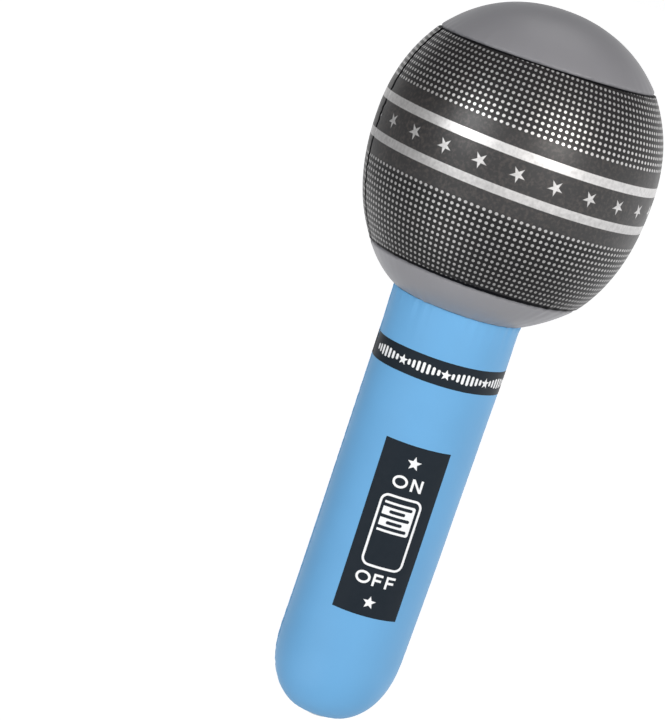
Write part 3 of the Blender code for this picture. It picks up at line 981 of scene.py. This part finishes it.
def turned_piece(name, outline, material, columns=96):
    """A solid turned round the valve's axis. The outline closes on itself or ends on the axis."""
    on_axis = outline[0][0] == 0.0
    mesh = bmesh.new()
    centres = [mesh.verts.new((0.0, 0.0, height * MM + BOTTOM)) if radius == 0.0 else None
               for radius, height in outline]
    rows = []
    for k in range(columns):
        across, square = math.cos(math.tau * k / columns), math.sin(math.tau * k / columns)
        places = [(radius * across * MM, radius * square * MM, height * MM + BOTTOM)
                  for radius, height in outline]
        rows.append([centre or mesh.verts.new(place) for centre, place in zip(centres, places)])
    last = len(outline) - 1 if on_axis else len(outline)
    for k in range(columns):
        here, there = rows[k], rows[(k + 1) % columns]
        for i in range(last):
            above = (i + 1) % len(outline)
            mesh.faces.new(tuple(dict.fromkeys([here[i], there[i], there[above], here[above]])))
    data = bpy.data.meshes.new(name)
    mesh.to_mesh(data)
    mesh.free()
    item = link(name, data, material)
    rounded = item.modifiers.new("rounded_edges", "BEVEL")
    rounded.width = 0.14 * MM
    rounded.segments = 3
    rounded.limit_method = "ANGLE"
    rounded.angle_limit = math.radians(35)
    return item


def build_patch(blue):
    """The round film patch that closes the handle's end, dished so that the valve lies flush."""
    rim_radius, rim_height = HANDLE.at(0.0)
    floor_height, hole = 2.6, 5.5
    dish_from, dish_to = rim_radius - 0.35, 8.2
    outline = [(rim_radius - WELD_GAP, rim_height + 1.3), (rim_radius - WELD_GAP, rim_height + 0.42)]
    steps = 16
    for k in range(steps + 1):
        height = rim_height + 0.1 + (floor_height - rim_height - 0.1) * float(smooth(k / steps))
        outline.append((dish_from - (dish_from - dish_to) * (k / steps), height))
    outline += [(7.4, floor_height), (6.6, floor_height), (6.0, floor_height + 0.05),
                (hole + 0.15, floor_height + 0.25), (hole, floor_height + 0.55)]
    columns = 160
    wave = ripple(44, 9, 40)
    gather_height, gather_reach = PATCH_GATHERS
    points = np.zeros((columns, len(outline), 3))
    for c, turn in enumerate(ring_turns(columns)):
        for r, (radius, height) in enumerate(outline):
            gather = gather_height * float(wave(turn)) * math.exp(-abs(rim_radius - radius) / gather_reach)
            x, y, z = posture(-radius * math.sin(turn), -radius * math.cos(turn), height + gather)
            points[c, r] = (x * MM, y * MM, z * MM + BOTTOM)
    mesh = grid_mesh("handle_patch_film", points, True)
    weld_fade = 0.6
    weld = np.array([math.exp(-abs(rim_radius - radius) / weld_fade) for radius, _ in outline])
    mesh.attributes.new("weld", "FLOAT", "POINT").data.foreach_set("value", np.tile(weld, columns))
    item = link("handle_patch_film", mesh, blue)
    thicken(item, FILM)
    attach(item, "envelope")
    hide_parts("handle_end_patch")


def strap_line():
    """Points along the middle of the strap, from the stem, round the bend, to the stopper."""
    stem_end, bend_start, stopper_end = 3.7, 7.2, 4.7
    upper, lower = 2.05, 0.6
    radius, middle = (upper - lower) / 2, (upper + lower) / 2
    line = [(stem_end + (bend_start - stem_end) * k / 8, upper) for k in range(8)]
    for k in range(25):
        angle = math.pi * k / 24
        line.append((bend_start + radius * math.sin(angle), middle + radius * math.cos(angle)))
    line += [(bend_start + (stopper_end - bend_start) * k / 8, lower) for k in range(1, 9)]
    return line


def build_strap(material):
    """The strap that keeps the stopper on the stem, built in one bent shape."""
    line = strap_line()
    half, edge, thickness = 1.5, 0.2, 0.6
    waist_place, waist_reach, waist_depth = 8.0, 0.9, 0.16
    section = [(-half, 0.0), (-half + edge, thickness / 2), (half - edge, thickness / 2), (half, 0.0),
               (half - edge, -thickness / 2), (-half + edge, -thickness / 2)]
    points = np.zeros((len(line), len(section), 3))
    for c, (x, height) in enumerate(line):
        before, after = line[max(c - 1, 0)], line[min(c + 1, len(line) - 1)]
        run, rise = after[0] - before[0], after[1] - before[1]
        size = math.hypot(run, rise)
        narrow = 1.0 - waist_depth * math.exp(-((x - waist_place) / waist_reach) ** 2)
        for r, (across, lift) in enumerate(section):
            points[c, r] = ((x - rise / size * lift) * MM, across * narrow * MM,
                            (height + run / size * lift) * MM + BOTTOM)
    rows = len(section)
    mesh = bpy.data.meshes.new("valve_strap")
    faces = [(c * rows + r, c * rows + (r + 1) % rows, (c + 1) * rows + (r + 1) % rows, (c + 1) * rows + r)
             for c in range(len(line) - 1) for r in range(rows)]
    faces += [tuple(range(rows))[::-1], tuple((len(line) - 1) * rows + r for r in range(rows))]
    mesh.from_pydata(points.reshape(-1, 3).tolist(), [], faces)
    item = link("valve_strap", mesh, material)
    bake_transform(item)


def build_sleeve(material):
    """The thin sleeve between the flange and the stem."""
    columns = 96
    outline = [(4.42, 3.0), (4.36, 2.9), (4.3, 2.8), (4.24, 2.7), (4.18, 2.6), (4.12, 2.5), (4.07, 2.42)]
    wall = 0.06
    points = np.zeros((columns, len(outline), 3))
    for c, turn in enumerate(ring_turns(columns)):
        for r, (radius, height) in enumerate(outline):
            points[c, r] = (radius * math.cos(turn) * MM, radius * math.sin(turn) * MM, height * MM + BOTTOM)
    item = link("valve_sleeve", grid_mesh("valve_sleeve", points[:, ::-1], True), material)
    thicken(item, wall)
    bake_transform(item)


def build_valve(soft, film_material):
    """The stem and the stopper, whose outlines go round their solids, and the strap and the sleeve."""
    stem_low, stem_high = (corner.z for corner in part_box("valve_stem"))
    low, high = (stem_low - BOTTOM) / MM, (stem_high - BOTTOM) / MM
    bore, radius, shoulder = 2.4, 4.0, 5.2
    outline = [(bore, low + 0.35), (bore + 0.35, low), (radius - 0.25, low), (radius, low + 0.2),
               (radius, high - 1.0), (shoulder, high - 1.0), (shoulder, high - 0.3), (shoulder - 0.3, high),
               (bore, high)]
    stem = turned_piece("valve_mouth_tube", outline, soft)
    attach(stem, "stem")
    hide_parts("valve_stem")

    rim, face = 5.0, 1.3
    outline = [(0.0, 0.12), (1.6, 0.12), (3.6, 0.05), (3.9, 0.0), (rim - 0.3, 0.0), (rim, 0.3), (rim, face),
               (2.1, face), (2.05, face + 1.0), (2.2, face + 1.3), (2.05, face + 1.6), (1.45, face + 3.1),
               (1.0, face + 3.5), (0.0, face + 3.5)]
    stopper = turned_piece("valve_plug", outline, soft)
    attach(stopper, "stopper")
    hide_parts("valve_stopper")
    build_strap(soft)
    build_sleeve(soft)
    for node, material in (("valve_flange", soft), ("valve_check_flap", film_material)):
        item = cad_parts[node]
        item.data.materials.clear()
        item.data.materials.append(material)


def main():
    bpy.context.scene.view_settings.view_transform = "Standard"
    camera()
    studio()
    floor()
    # The second colours darken the film along the welds: heat-marked film and painted shade of the creases.
    grey = plain_vinyl("grey_film", (0.262, 0.260, 0.276), (0.13, 0.13, 0.145), 0.34, 0.5)
    blue = plain_vinyl("blue_film", (0.138, 0.386, 0.680), (0.06, 0.22, 0.47), 0.36, 0.3)
    black = ink("black_ink", (0.007, 0.0135, 0.021), (0.012, 0.0185, 0.027), 0.42, 0.16)
    white = ink("white_ink", (0.80, 0.82, 0.84), (0.88, 0.89, 0.90), 0.45, 0.4)
    soft = valve_plastic("milky_vinyl", (0.78, 0.84, 0.87), 0.34, 0.35)
    flap = valve_plastic("flap_film", (0.80, 0.86, 0.90), 0.28, 0.6)
    build_head(grey, grille_print())
    build_handle(blue)
    build_patch(blue)
    build_label(black, white)
    build_band(black, white)
    build_valve(soft, flap)


main()
